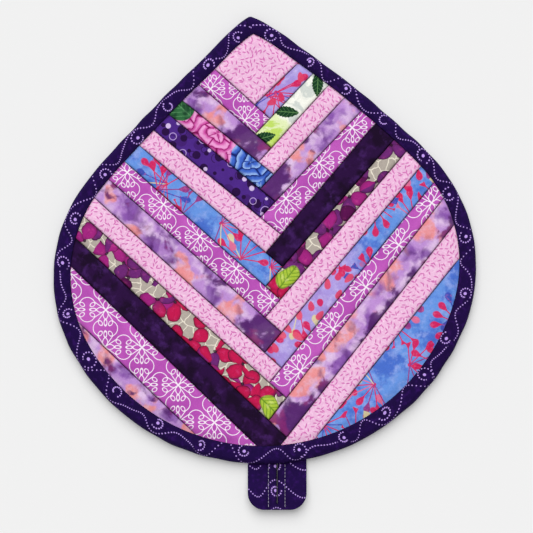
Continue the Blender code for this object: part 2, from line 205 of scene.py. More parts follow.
class Cloth:
    # one fabric's material, its print drawn in millimetres on the piece's clothMap or on Object coordinates
    def __init__(self, name, values, roughness=0.9, sheen=0.0, weave=1.0, onMap=True):
        self.material = bpy.data.materials.new(name)
        self.material.use_nodes = True
        self.tree = self.material.node_tree
        self.shader = self.tree.nodes["Principled BSDF"]
        self.feed(self.shader, {"Roughness": roughness, "Specular IOR Level": 0.12,
                                "Sheen Weight": sheen, "Sheen Roughness": 0.5})
        self.values = values
        self.colour = "ground"
        self.weave = weave
        self.seam = None
        if onMap:
            place = self.node("UVMap", output="UV", uv_map="clothMap")
            # the second map holds how near each point is to a seam or crease, in mm; finish darkens the colour
            # there as painted shade
            self.seam = self.node("UVMap", output="UV", uv_map="seamMap").parts()[0]
        else:
            place = self.node("TexCoord", output="Object")
            place = self.node("VectorMath", {0: place, "Scale": 1 / mm}, operation="SCALE")
        self.x, self.y, _ = place.parts()

    def feed(self, made, inputs):
        for key, value in inputs.items():
            if isinstance(value, Amount):
                self.tree.links.new(value.socket, made.inputs[key])
            else:
                made.inputs[key].default_value = value

    def node(self, kind, inputs=(), output=0, **settings):
        made = self.tree.nodes.new("ShaderNode" + kind)
        for key, value in settings.items():
            setattr(made, key, value)
        self.feed(made, inputs if isinstance(inputs, dict) else dict(enumerate(inputs)))
        return Amount(self, made.outputs[output])

    def spread(self, x, y):
        return self.node("CombineXYZ", (x, y))

    def length(self, x, y):
        return self.node("VectorMath", (self.spread(x, y),), "Value", operation="LENGTH")

    def turned(self, x, y, angle):
        cosine, sine = (self.node("Math", (angle,), operation=kind) for kind in ("COSINE", "SINE"))
        return x * cosine + y * sine, y * cosine - x * sine

    def noise(self, size, seed, detail=3.0, warp=0.0, rough=0.5):
        place = self.node("CombineXYZ", (self.x, self.y, seed * size))
        return self.node("TexNoise", {"Vector": place, "Scale": 1 / size, "Detail": detail,
                                      "Roughness": rough, "Distortion": warp}, "Fac", noise_dimensions="3D")

    def patches(self, low, high, *noise, **settings):
        return self.noise(*noise, **settings).smooth(low, high)

    def voronoi(self, size, randomness, feature, output, x, y):
        return self.node("TexVoronoi", {"Vector": self.spread(x, y), "Scale": 1 / size,
                                        "Randomness": randomness}, output, voronoi_dimensions="2D", feature=feature)

    def cells(self, size, randomness, shift=0.0, at=None, feature="F1"):
        # scattered points: the offset from the nearest one, and three random values of its own
        x, y = at or (self.x, self.y)
        x, y = x + shift, y + shift * 0.7
        point = self.voronoi(size, randomness, feature, "Position", x, y)
        luck = Amount(self, point.socket.node.outputs["Color"]).parts("Color")
        px, py, _ = point.parts()
        return x - px, y - py, luck

    def scatter(self, *cells):
        # the same, each point's surroundings turned at random
        dx, dy, luck = self.cells(*cells)
        return (*self.turned(dx, dy, luck[0] * 2 * pi), dx, luck)

    def chance(self, x, y):
        luck = self.node("TexWhiteNoise", {"Vector": self.spread(x, y)}, "Color", noise_dimensions="2D")
        return luck.parts("Color")

    def ribs(self, x, y, slope, gap):
        # how far it is to the nearest vein of a leaf that lies along x
        return abs(y).least(abs((x + abs(y) * slope).wrap(gap)) + 0.1)

    def mix(self, first, second, share):
        inputs = {0: share}
        for socket, colour in ((6, first), (7, second)):
            colour = self.values[colour] if isinstance(colour, str) else colour
            inputs[socket] = colour if isinstance(colour, Amount) else sRgb(*colour)
        return self.node("Mix", inputs, 2, data_type="RGBA")

    def paint(self, colour, share):
        # one more layer of colour over the ground
        self.colour = self.mix(self.colour, colour, share)

    def finish(self):
        # a little unevenness in the dye, painted shade along seams and creases, then the weave as relief
        grain = self.values.get("grain", 0.07)
        speckle = self.noise(0.8, 7.3)
        patchy = self.noise(9.0, 4.1, 2)
        value = 1.0 + (speckle - 0.5) * (grain * 4) + (patchy - 0.5) * (grain * 1.5)
        if self.seam is not None:
            # painted shade: the colour is darkened strongly within about half a millimetre of a seam or crease, and
            # a little, unevenly, out to about 2.6 mm, standing in for the shadow there
            value = value * (self.seam.smooth(0.0, 0.44) * 0.76 + 0.24)
            value = value * ((self.seam + (patchy - 0.5) * 2.0).smooth(0.0, 2.6) * 0.14 + 0.86)
        thread = 2 * pi / 0.42
        weave = (self.x * thread).sine() * (self.y * thread).sine() * (0.012 * self.weave)
        relief = weave + speckle * 0.03 + patchy * 0.05
        self.feed(self.shader, {
            "Base Color": self.node("HueSaturation", {"Value": value, "Color": self.colour}),
            "Normal": self.node("Bump", {"Strength": 0.6, "Distance": mm, "Height": relief}),
        })
        return self.material


def shadedCloth(name, colour, shade, grain=0.07, **settings):
    # one colour and the same made darker
    values = {"ground": colour, "shade": [value * shade for value in colour], "grain": grain}
    return Cloth(name, values, **settings)


def makePlainCloth(name, colour):
    cloth = shadedCloth(name, colour, 0.8)
    cloth.paint("shade", cloth.noise(12, 1))
    return cloth.finish()


def makeFelt(name, colour):
    # battings, seen only at a cut edge
    cloth = shadedCloth(name, colour, 0.86, grain=0.1, roughness=1.0, sheen=0.3, onMap=False)
    cloth.paint("shade", cloth.noise(2.2, 2, 6, 1.2))
    return cloth.finish()


def makeThread(name, colour):
    # twisted plies: fine slanting lines round the thread, on Object coordinates
    cloth = shadedCloth(name, colour, 0.7, roughness=0.6, sheen=0.2, onMap=False, weave=0.0)
    cloth.paint("shade", ((cloth.x + cloth.y) * (2 * pi / 0.5)).sine().smooth(-0.2, 1.0))
    return cloth.finish()


# Pink cotton with short scattered dashes

dashes = {
    "ground": (246, 200, 232),
    "shade": (238, 178, 218),
    "light": (252, 222, 242),
    "dash": (214, 114, 184),
    "spacing": 2.45,
    "length": 2.5,
    "width": 0.74,
}


def printDashes(cloth):
    cloth.paint("shade", cloth.noise(14, 2))
    cloth.paint("light", cloth.patches(0.48, 0.68, 1.3, 42) * 0.6)
    shape = 9.0
    for feature in ("F1", "F2"):
        dx, dy, luck = cloth.cells(dashes["spacing"], 0.9, feature=feature)
        along, across = cloth.turned(dx, dy, luck[0] * pi)
        end = along / (dashes["length"] / 2)
        shape = (abs(across) - (1.0 - end * end) * (dashes["width"] / 2)).least(shape)
    cloth.paint("dash", shape.inside() * 0.95)


# Orchid cotton with a pale scrolled lattice, folded into one eighth of its repeat

scroll = {
    "ground": (197, 93, 192),
    "shade": (178, 76, 176),
    "line": (252, 240, 252),
    "repeat": 19.8,
    "width": 0.42,
    "stem": (6.1, 4.2),
    "curl": math.radians(-35),
}


def printScrolls(cloth):
    x, y = (abs(value.wrap(scroll["repeat"])) for value in (cloth.x, cloth.y))
    x, y = x.most(y), x.least(y)
    endX, endY = scroll["stem"]
    whole = endX ** 2 + endY ** 2
    share = (x * (endX / whole)).math("ADD", y * (endY / whole), use_clamp=True)
    stem = cloth.length(x - share * endX, y - share * endY)
    arch = abs(cloth.length(x - 9.9, y - 2.3) - 4.25).most(endX - x, 4.0 - y)
    lens = abs(cloth.length(x - 2.5, y + 1.64) - 2.99).most(x - 5.0)
    drop = abs(cloth.length((x - 6.75) / 1.7, y / 0.78) - 1.0) * 0.8
    along, across = cloth.turned(x - 7.1, y - 2.75, scroll["curl"])
    curl = abs(cloth.length(along / 1.45, across / 0.95) - 1.0) * 1.1
    eye = abs(cloth.length(x, y) - 0.45)
    cloth.paint("shade", cloth.patches(0.35, 0.7, 20, 5))
    cloth.paint("line", (stem.least(arch, lens, drop, curl, eye) - scroll["width"] / 2).inside(0.13))


# Mottled lilac

mottle = {
    "ground": (192, 144, 214),
    "pale": (228, 196, 234),
    "salmon": (242, 146, 142),
    "blush": (238, 176, 190),
    "violet": (128, 72, 166),
    "plum": (82, 32, 104),
    "wine": (138, 36, 108),
    "repeat": 36,
    "grain": 0.09,
}


def printMottle(cloth):
    cloth.paint("pale", cloth.patches(0.42, 0.66, 9, 3, 6))
    broad = cloth.noise(18, 13, 2, 0.4)
    torn = cloth.noise(8, 23, 7, 0.5)
    # salmon and violet take turns along the cloth, and in one stripe of it also across
    turns = ((abs(cloth.x) - 22.0) * (2 * pi / mottle["repeat"])).math("COSINE")
    across = (cloth.y.smooth(-8.0, 8.0) - 0.5) * abs(cloth.y).smooth(26.0, 12.0)
    salmon = (broad * 0.6 + torn * 0.3 + turns * 0.04 + across * 0.15).smooth(0.465, 0.53)
    violet = (broad * -0.6 + torn * 0.3 - turns * 0.04 - across * 0.08).smooth(-0.15, -0.06)
    warm = cloth.mix("salmon", "blush", cloth.patches(0.44, 0.64, 6, 63, 6, rough=0.6))
    cloth.paint(warm, salmon * 0.9)
    cloth.paint("violet", violet * 0.85)
    streak = abs(cloth.noise(30, 53) - 0.5).smooth(0.06, 0.0)
    cloth.paint("plum", streak * torn.smooth(0.42, 0.58) * 0.5)
    # darkest round the start of the cloth
    start = abs(cloth.x).smooth(26.0, 4.0) * 0.13 - across * 0.16
    plum = (cloth.noise(12, 33, 5) * 0.5 + torn * 0.5 + start - turns * 0.03).smooth(0.54, 0.62)
    cloth.paint(cloth.mix("plum", "wine", cloth.patches(0.48, 0.62, 12, 43) * 0.8), plum * 0.9)


# Violet cotton with overlapping bubbles

bubbles = {
    "ground": (86, 46, 148),
    "shade": (68, 34, 122),
    "layers": [
        # cell, shift, smallest and largest radius, share shown, colour, strength, ring width or 0 for a disc
        (9.0, 31.0, 2.0, 3.2, 0.70, (66, 30, 112), 0.9, 0),
        (8.0, 57.0, 1.9, 3.0, 0.85, (38, 10, 60), 0.95, 0),
        (6.2, 17.0, 0.8, 1.4, 0.55, (38, 10, 60), 0.95, 0),
        (7.0, 83.0, 1.4, 2.6, 0.50, (47, 15, 76), 0.9, 0.40),
        (7.5, 11.0, 0.7, 1.5, 0.50, (222, 198, 242), 0.9, 0),
        (10.5, 71.0, 1.5, 2.9, 0.50, (206, 176, 236), 0.85, 0.38),
    ],
}


def printBubbles(cloth):
    cloth.paint("shade", cloth.noise(8, 6, 4))
    for size, shift, small, large, share, tint, strength, ring in bubbles["layers"]:
        dx, dy, luck = cloth.cells(size, 0.6, shift)
        distance = cloth.length(dx, dy) - (luck[0] * (large - small) + small)
        shape = distance.line(ring) if ring else distance.inside()
        cloth.paint(tint, shape * luck[1].under(share) * strength)


# Dark purple, nearly plain

night = {"ground": (43, 12, 63), "patch": (70, 33, 102), "deep": (27, 6, 38), "grain": 0.08}


def printNight(cloth):
    cloth.paint("deep", cloth.patches(0.42, 0.6, 9, 8, 6))
    cloth.paint("patch", cloth.patches(0.50, 0.68, 8, 18, 6, rough=0.6) * 0.8)


# Painted blue cotton with fans of crimson buds, lilac towards one end

spray = {
    "ground": (104, 150, 228),
    "deep": (74, 112, 206),
    "pale": (156, 178, 240),
    "lilac": (194, 156, 226),
    "paleLilac": (206, 192, 242),
    "bud": (214, 24, 88),
    "rosy": (244, 120, 160),
    "coral": (232, 92, 120),
    "buds": [((62, 78, 182), 0.66), ((150, 50, 130), 0.74), ((226, 110, 150), 0.85), ((222, 212, 164), 0.95)],
    "repeat": 37.0,
    "petals": 15,
    "grain": 0.08,
}


def printSprays(cloth):
    cloth.paint("deep", cloth.patches(0.46, 0.6, 13, 4, 7, rough=0.6))
    lilac = (cloth.noise(22, 14, 4) * 50.0 - cloth.x).smooth(36.0, 58.0)
    cloth.paint("lilac", lilac * 0.7)
    cloth.paint(cloth.mix("pale", "paleLilac", lilac), cloth.patches(0.46, 0.66, 7, 24, 7, rough=0.65) * 0.7)
    for shift in (0.0, 47.0):
        along, across, _, luck = cloth.scatter(spray["repeat"], 0.6, shift)
        turn = (across.math("ARCTAN2", along) / (2 * pi) * spray["petals"]).math("ROUND")
        own = cloth.chance(turn + luck[1] * 71.0, shift + 3.0)
        lean = turn * (2 * pi / spray["petals"]) + (own[0] - 0.5) * 0.16
        out, side = cloth.turned(along, across, lean)
        reach = own[1] * 5.6 + 11.0
        stem = (abs(side) - 0.3).most(0.2 - out, out - reach)
        taper = (out - reach).smooth(-3.6, 2.0) * 1.6 + 0.5
        bud = cloth.length((out - reach) / 3.4, side / taper) - 1.0
        heart = cloth.length(along, across) - 1.1
        tint = "bud"
        for other, above in spray["buds"]:
            tint = cloth.mix(tint, other, own[2].over(above))
        tint = cloth.mix(tint, "rosy", cloth.patches(0.5, 0.7, 1.6, 54) * 0.35)
        flower = stem.least(bud * 1.2).most(abs(turn) - 4.6).least(heart)
        cloth.paint(tint, flower.inside(0.16) * 0.95)
    # loose buds, where the cloth is lilac
    along, across, _, luck = cloth.scatter(7.6, 0.8, 19.0)
    bud = cloth.length(along / (luck[1] * 1.5 + 2.1), across / (along * 0.16 + 1.7)) - 1.0
    shown = luck[2].under(0.76) * bud.inside() * lilac
    cloth.paint(cloth.mix("bud", "coral", luck[1]), shown * 0.95)


# Four-petalled magenta flowers over beige with cream veins, and one green leaf at the start of the cloth

petals = {
    "ground": (192, 182, 170),
    "shade": (168, 158, 150),
    "vein": (246, 238, 220),
    "dark": (48, 16, 44),
    "first": (164, 36, 128),
    "tints": [((112, 40, 118), 0.38), ((92, 14, 80), 0.80)],
    "crimson": (198, 24, 80),
    "light": (236, 92, 166),
    "leaf": (172, 200, 62),
    "leafVein": (110, 150, 40),
    "leafLight": (226, 236, 140),
    "size": 19.5,
    "grain": 0.08,
}


def printPetals(cloth):
    bent = [value + (cloth.noise(7, seed, 2) - 0.5) * 4.0 for value, seed in ((cloth.x, 15), (cloth.y, 35))]
    vein = cloth.voronoi(5.6, 0.9, "DISTANCE_TO_EDGE", "Distance", *bent) * 5.6
    cloth.paint("shade", cloth.noise(3, 5, 4))
    cloth.paint("vein", (vein - 0.22).inside(0.16) * 0.9)
    wash = cloth.noise(3.4, 25, 5, rough=0.6)
    warm = cloth.x.smooth(2.0, 6.0) * cloth.x.smooth(92.0, 74.0)
    for shift in (63.0, 0.0):
        dx, dy, luck = cloth.cells(petals["size"], 0.7, shift, bent)
        along, across = cloth.turned(dx, dy, luck[1] * 2 * pi)
        turn = (across.math("ARCTAN2", along) * (2 / pi)).math("ROUND")
        own = cloth.chance(turn + luck[0] * 53.0, shift + 0.5)
        out, side = cloth.turned(along, across, turn * (pi / 2) + (own[1] - 0.5) * 0.3)
        oval = (cloth.length((out - 5.3) / 5.0, side / (out * 0.16 + 3.1)) - 1.0) * 3.6
        tint = "first"
        for other, above in petals["tints"]:
            tint = cloth.mix(tint, other, (luck[0] * 0.6 + own[0] * 0.4).over(above))
        tint = cloth.mix(tint, "crimson", warm * own[0].over(0.22))
        tint = cloth.mix(tint, "light", wash.smooth(0.52, 0.7) * 0.25)
        tint = cloth.mix(tint, "dark", oval.smooth(-1.8, -0.1) * 0.35 + side.line(0.16) * 0.25)
        tint = cloth.mix(tint, "dark", (oval + 0.16).line(0.32) * 0.75)
        cloth.paint(tint, oval.inside() * own[2].under(0.76))
        cloth.paint("dark", (cloth.length(dx, dy) - 0.95).inside(0.2) * 0.9)
    blade = cloth.length(cloth.x / 7.5, (cloth.y + (cloth.x * 0.4).sine()) / 5.0) - 1.0
    leaf = cloth.mix("leafVein", "leaf", cloth.ribs(cloth.x, cloth.y, 0.9, 2.6).smooth(0.1, 0.7))
    leaf = cloth.mix(leaf, "leafLight", wash.smooth(0.5, 0.7) * 0.6)
    leaf = cloth.mix(leaf, "dark", (blade + 0.03).line(0.07) * 0.7)
    cloth.paint(leaf, blade.inside(0.04))


# Pink blooms on green, blue ones towards the end of the cloth, and a leaf at its far end

blooms = {
    "ground": (20, 40, 40),
    "pale": (242, 164, 218),
    "pink": (208, 74, 164),
    "deep": (132, 14, 86),
    "sky": (150, 184, 240),
    "blue": (66, 106, 206),
    "navy": (18, 36, 112),
    "leaf": (48, 104, 62),
    "vein": (96, 156, 104),
    "shadow": (16, 52, 36),
    "repeat": 21.0,
    "grain": 0.08,
}


def printBlooms(cloth):
    cloth.paint("leaf", cloth.patches(0.36, 0.6, 4, 9, 4))
    bend = (cloth.noise(7, 19, 2) - 0.5) * 5.0
    for shift, radius in ((29.0, 9.0), (0.0, 12.0)):
        along, across, dx, _ = cloth.scatter(blooms["repeat"], 0.35, shift)
        distance = cloth.length(along, across) + bend
        around = across.math("ARCTAN2", along)
        # petals lie in rings, each ring's turned against the one inside it
        ring = distance / 4.3 + (around * 3.0 + 1.0).sine() * 0.22
        between = abs((around * 2.0 + ring.math("FLOOR") * 1.9).sine())
        ramp = ring.math("FRACT") * between.smooth(0.0, 0.3) * 1.05
        outline = distance - ((around * 5.0 + 1.0).sine() * 0.7 + radius)
        shade = cloth.mix("deep", "pink", ramp.smooth(0.0, 0.22))
        shade = cloth.mix(shade, "pale", ramp.smooth(0.15, 0.7))
        shade = cloth.mix(shade, "pink", ramp.smooth(0.86, 1.0) * 0.8)
        cool = cloth.mix("navy", "blue", ramp.smooth(0.0, 0.45))
        cool = cloth.mix(cool, "sky", ramp.smooth(0.5, 1.0))
        cloth.paint(cloth.mix(shade, cool, (cloth.x - dx).over(0.0)), outline.inside(0.2))
    blade = cloth.length((cloth.x + 43.0) / 8.5, (cloth.y - 1.0) / 7.5) - 1.0
    leaf = cloth.mix("vein", "leaf", cloth.ribs(cloth.x, cloth.y - 1.0, 1.0, 3.2).smooth(0.05, 0.5))
    leaf = cloth.mix(leaf, "shadow", cloth.patches(0.45, 0.6, 5, 29) * 0.7)
    cloth.paint(leaf, blade.inside(0.03))


# Cream cotton with soft petals and dark leaves, lime towards its start

leaves = {
    "ground": (252, 252, 242),
    "shade": (214, 220, 214),
    "lime": (196, 226, 104),
    "paleLime": (232, 244, 190),
    "green": (24, 62, 36),
    "vein": (96, 140, 84),
    "repeat": 15.0,
    "grain": 0.06,
}


def printLeaves(cloth):
    lime = (cloth.noise(9, 22, 2) * 16.0 - cloth.x).smooth(7.0, 12.0)
    cloth.paint("paleLime", lime)
    cloth.paint(cloth.mix("shade", "lime", lime), cloth.patches(0.46, 0.58, 7, 12, 5, 0.8))
    along, across, _, luck = cloth.scatter(leaves["repeat"], 0.6, 5.0)
    teeth = abs((along * 1.9 + abs(across)).sine()) * 0.4
    end = along / 7.6
    half = (1.0 - end * end).most(0.0) * 3.3 - teeth
    blade = cloth.mix("vein", "green", cloth.ribs(along, across, 0.8, 2.2).smooth(0.08, 0.3))
    cloth.paint(blade, (abs(across) - half).inside(0.14) * luck[1].under(0.66))


# Binding cloth: dark violet with dotted swirls

dots = {
    "ground": (35, 7, 77),
    "shade": (21, 4, 52),
    "patch": (49, 14, 93),
    "dot": (200, 162, 246),
    "repeat": 27.0,
    "row": 15.0,
    "ring": 3.4,
    "around": 14,
    "big": 0.85,
    "small": 0.40,
    "trail": 0.36,
    "step": 1.3,                      # from one of the trail's dots to the next
}


def printDots(cloth):
    cloth.paint("shade", cloth.noise(5, 10, 4))
    cloth.paint("patch", cloth.patches(0.5, 0.7, 3, 20, 5) * 0.8)
    u = cloth.x + (cloth.noise(34, 40, 1) - 0.5) * 9.0
    column = (u / dots["repeat"]).math("FLOOR")
    row = (cloth.y / dots["row"]).math("FLOOR")
    luck = cloth.chance(column + 0.5, row + 0.5)
    other = cloth.chance(column + 7.5, row + 2.5)
    v = cloth.y - row * dots["row"]
    du = u - (column + 0.27) * dots["repeat"] - (luck[0] - 0.5) * 5.0
    dv = v - 4.6 - (luck[1] - 0.5) * 2.0
    along, across = cloth.turned(du, dv, luck[2] * 2 * pi)
    place = (across.math("ARCTAN2", along) / (2 * pi) * dots["around"]).math("ROUND")
    out, side = cloth.turned(along, across, place * (2 * pi / dots["around"]))
    # the ring is open, and winds in towards its big dot
    radius = place * 0.13 + other[0] * 1.5 + (dots["ring"] - 0.9)
    ring = (cloth.length(out - radius, side) - dots["small"]).most(place - (other[1] * 3.4 + 2.0))
    middle = cloth.length(du, dv) - dots["big"] * other[2].under(0.85)
    cloth.paint("dot", ring.least(middle).inside(0.15))
    # a trail of smaller dots sways across the band from one swirl to the next
    at = (u / dots["step"]).math("ROUND") * dots["step"]
    sway = (at * 0.063).sine() * 1.8 + 3.8
    wave = (at * (2 * pi / dots["repeat"]) - 0.3).sine() * sway + (at * 0.39).sine() * 1.1
    trail = cloth.length(u - at, v - wave - 6.4) - dots["trail"]
    clear = cloth.length(du, dv).smooth(dots["ring"] + 0.6, dots["ring"] + 1.2)
    cloth.paint("dot", trail.inside(0.15) * clear * 0.9)


prints = {
    "dash": ("dashedPink", dashes, printDashes),
    "spray": ("sprayedBlue", spray, printSprays),
    "scroll": ("scrolledOrchid", scroll, printScrolls),
    "leaf": ("leafyCream", leaves, printLeaves),
    "mottle": ("mottledLilac", mottle, printMottle),
    "bloom": ("bloomingPink", blooms, printBlooms),
    "bubble": ("bubbledViolet", bubbles, printBubbles),
    "night": ("nightPurple", night, printNight),
    "petal": ("petalledMagenta", petals, printPetals),
    "dot": ("dottedViolet", dots, printDots),
}


def makeCloth(name, values, draw):
    cloth = Cloth(name, values)
    draw(cloth)
    return cloth.finish()


# Edges of the pad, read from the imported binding

def nodePoints(name):
    return np.array([vertex.co for vertex in frame["nodes"][name].data.vertices], float)


def hull(points):
    # the points round the outside of a flat set, anticlockwise
    ordered = sorted({(round(x, 7), round(y, 7)) for x, y in points})
    halves = []
    for run in (ordered, ordered[::-1]):
        chain = []
        for p in run:
            while len(chain) > 1:
                (ax, ay), (bx, by) = chain[-2:]
                if (bx - ax) * (p[1] - ay) - (by - ay) * (p[0] - ax) > 0:
                    break
                chain.pop()
            chain.append(p)
        halves += chain[:-1]
    return np.array(halves)


def level(name, height):
    points = nodePoints(name)
    return points[np.abs(points[:, 2] - height) < 0.02 * mm][:, :2]


def smoothLoop(points):
    # a smooth closed curve through points on a rim: one radius for each angle round the middle
    known = np.arctan2(points[:, 1], points[:, 0])
    order = np.argsort(known)
    known, radii = known[order], np.hypot(points[:, 0], points[:, 1])[order]
    keep = np.concatenate(([True], np.diff(known) > 1e-5))
    known, radii = known[keep], radii[keep]
    a = np.concatenate((known[-3:] - 2 * pi, known, known[:3] + 2 * pi))
    r = np.concatenate((radii[-3:], radii, radii[:3]))
    # at a corner, as at the point, the curve keeps a slope of its own on each side
    chord = np.diff(r) / np.diff(a)
    before = np.gradient(r, a)
    after = before.copy()
    for corner in np.flatnonzero(np.abs(np.diff(chord)) > 0.06) + 1:
        before[corner], after[corner] = chord[corner - 1], chord[corner]
    at = (angles + pi) % (2 * pi) - pi
    i = np.clip(np.searchsorted(a, at, side="right") - 1, 0, len(a) - 2)
    step = a[i + 1] - a[i]
    t = (at - a[i]) / step
    return ((2 * t**3 - 3 * t**2 + 1) * r[i] + (t**3 - 2 * t**2 + t) * step * after[i]
            + (3 * t**2 - 2 * t**3) * r[i + 1] + (t**3 - t**2) * step * before[i + 1])


bindingRim = hull(nodePoints("binding")[:, :2])
peak = bindingRim[bindingRim[:, 1].argmax()]
tipAngle = math.atan2(peak[1], peak[0])
nearTip = np.radians(np.arange(0.1, 4.0, 0.15))
allRound = np.linspace(0, 2 * pi, 721)[8:-8]
angles = tipAngle + np.concatenate(([0.0], nearTip, allRound, (2 * pi - nearTip)[::-1]))
outward = np.stack((np.cos(angles), np.sin(angles)), axis=1)
padLevels = {
    "strips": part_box("right_strip_05")[0].z,
    "backing": 1.2 * mm,              # its underside, where the binding's back flap covers it
    "backingTop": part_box("backing")[1].z,
    "flap": 5.95 * mm,                # underside of the binding's front flap
    "flapEdge": 6.5 * mm,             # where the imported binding's inner edge starts to round over
    "backEdge": 0.35 * mm,
    "top": 6.85 * mm,
}
outerRadius = smoothLoop(bindingRim)
frontRadius = smoothLoop(level("binding", padLevels["flapEdge"]))
backRadius = smoothLoop(level("binding", padLevels["backEdge"]))


def loopPoints(radius):
    return outward * radius[:, None]


def slant():
    # how much further a distance in from the edge reaches when it is measured towards the middle
    edge = loopPoints(outerRadius)
    along = np.roll(edge, -1, axis=0) - np.roll(edge, 1, axis=0)
    along /= np.linalg.norm(along, axis=1)[:, None]
    across = np.abs(outward[:, 0] * along[:, 1] - outward[:, 1] * along[:, 0])
    return 1 / np.clip(across, 0.75, 1)


edgeSlant = slant()


def leftOf(direction):
    return np.array((-direction[1], direction[0]))


def distanceInside(points, rim):
    # how far points lie inside a closed convex rim, less than zero outside it
    run = np.roll(rim, -1, axis=0) - rim
    normal = np.stack((-run[:, 1], run[:, 0]), axis=1) / np.linalg.norm(run, axis=1)[:, None]
    offset = (rim * normal).sum(axis=1)
    # a few thousand points at a time, to spare memory
    parts = np.array_split(points, len(points) // 4000 + 1)
    return np.concatenate([(part @ normal.T - offset).min(axis=1) for part in parts])


def clip(polygon, point, normal):
    # the part of a convex outline on the inner side of a straight line
    kept = []
    depths = (polygon - point) @ normal
    for here, there, a, b in zip(polygon, np.roll(polygon, -1, axis=0), depths, np.roll(depths, -1)):
        if a <= 0:
            kept.append(here)
        if (a <= 0) != (b <= 0):
            kept.append(here + (there - here) * a / (a - b))
    return np.array(kept)


def ripple(x, y, size, height, seed, waves=6):
    # soft random waves of about a size and height, the same on each run
    draw = np.random.default_rng(seed)
    total = np.zeros_like(x)
    for _ in range(waves):
        turn = draw.uniform(0, 2 * pi)
        phase = draw.uniform(0, 2 * pi)
        reach = size * draw.uniform(0.7, 1.5)
        total += np.sin((x * math.cos(turn) + y * math.sin(turn)) * 2 * pi / reach + phase)
    return total * height / math.sqrt(waves)


def smoothStep(value):
    value = np.clip(value, 0, 1)
    return value * value * (3 - 2 * value)


def dent(gap, depth, reach):
    # a soft groove where the gap is none
    return depth * np.exp(-(gap / reach) ** 2)


def slope(gap, depth, reach):
    # the whole depth where the gap is none, and nothing beyond its reach
    return depth * (1 - smoothStep(gap / reach))


def roundEdge(share):
    # a quarter circle, from 1 at the edge down to 0 where the share reaches 1
    return 1 - np.sqrt(np.clip(1 - (1 - np.clip(share, 0, 1)) ** 2, 0, 1))


def raised(plan, height):
    return np.concatenate((plan, height[..., None]), axis=2)


def closed(grid):
    # a grid that runs round the pad, its first row again at the end
    return np.concatenate((grid, grid[:1]), axis=0)


def closeness(count, ends, length):
    # stops from 0 to 1, close together near both ends
    edge = [stop / length for stop in ends]
    middle = np.linspace(edge[-1], 1 - edge[-1], count)[1:-1]
    return np.concatenate(([0.0], edge, middle, [1 - stop for stop in reversed(edge)], [1.0]))


def addGrid(name, places, cloth, mapping, shadeDistance):
    # a grid primitive with its crossings laid on places, which has the shape (rows, columns, 3);
    # clothMap is where each crossing lies on the cloth, and the second map how near it is to a seam or crease, in
    # mm, which sets the painted shade there
    rows, columns = places.shape[:2]
    bpy.ops.object.select_all(action="DESELECT")
    bpy.ops.mesh.primitive_grid_add(x_subdivisions=columns - 1, y_subdivisions=rows - 1, size=2)
    piece = bpy.context.object
    piece.name = name
    mesh = piece.data
    mesh.name = name
    flat = np.zeros(len(mesh.vertices) * 3)
    mesh.vertices.foreach_get("co", flat)
    flat = flat.reshape(-1, 3)
    column = np.rint((flat[:, 0] + 1) / 2 * (columns - 1)).astype(int)
    row = np.rint((flat[:, 1] + 1) / 2 * (rows - 1)).astype(int)
    mesh.vertices.foreach_set("co", places[row, column].ravel())
    corners = np.zeros(len(mesh.loops), int)
    mesh.loops.foreach_get("vertex_index", corners)
    while mesh.uv_layers:
        mesh.uv_layers.remove(mesh.uv_layers[0])
    near = np.clip(shadeDistance / mm, 0, 8)
    for layer, values in (("clothMap", mapping), ("seamMap", np.stack((near, near), axis=2))):
        mesh.uv_layers.new(name=layer).data.foreach_set("uv", values[row, column][corners].ravel())
    mesh.materials.append(cloth)
    mesh.update()
    return piece


def choose(piece):
    bpy.ops.object.select_all(action="DESELECT")
    bpy.context.view_layer.objects.active = piece
    piece.select_set(True)


def edit(piece):
    choose(piece)
    bpy.ops.object.mode_set(mode="EDIT")


def merge():
    bpy.ops.mesh.select_all(action="SELECT")
    bpy.ops.mesh.remove_doubles(threshold=0.002 * mm)


def chooseOpenEdges():
    bpy.ops.mesh.select_all(action="DESELECT")
    bpy.ops.mesh.select_mode(type="EDGE")
    bpy.ops.mesh.select_non_manifold()


def closeAt(height, run):
    # the chosen edges drawn out to a height, and closed across there
    bpy.ops.mesh.extrude_region_move(TRANSFORM_OT_translate={"value": (0, 0, run)})
    bpy.ops.transform.resize(value=(1, 1, 0), center_override=(0, 0, height))
    bpy.ops.mesh.edge_face_add()


def finishPiece(piece, slot):
    bpy.ops.mesh.select_all(action="SELECT")
    bpy.ops.mesh.normals_make_consistent(inside=False)
    bpy.ops.object.mode_set(mode="OBJECT")
    choose(piece)
    bpy.ops.object.shade_smooth_by_angle(angle=math.radians(60))
    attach(piece, "root")


def finishPadded(piece, slot, node):
    finishPiece(piece, slot)
    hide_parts(node)


# Strips of the patchwork

strip = {
    "overlap": 0.148 * mm,            # how far a strip reaches past its packed edge, into the seam's gap
    # how far the rolled fold and the pulled-down edge fall and over what reach, and how the seam presses them
    "fold": (1.25 * mm, 0.62 * mm, (0.16 * mm, 3.6 * mm)),
    "dip": (0.65 * mm, 2.0 * mm, (0.8 * mm, 0.4 * mm)),
    "swell": (26 * mm, 0.07 * mm),    # size and height of the waves
    "fineSwell": (9 * mm, 0.035 * mm),
    "pucker": 0.055 * mm,
    "puckerPitch": 3.1 * mm,
    "puckerReach": 2.2 * mm,
    "full": 6.62 * mm,                # height of the flat middle
    "highest": 6.9 * mm,
    "underFlap": 5.72 * mm,
    "tucked": 2.6 * mm,               # how far in from the pad's edge a strip ends, under the binding
    "covered": 4 * mm,                # edges nearer to the pad's edge than this aren't seams
    "shortest": 0.3 * mm,
    "longSeam": 25 * mm,              # the last strips end in short seams, which the binding hides
    "spacing": 1.25 * mm,
    "closer": [0.10 * mm, 0.24 * mm, 0.42 * mm, 0.65 * mm, 1.0 * mm, 1.5 * mm],
}


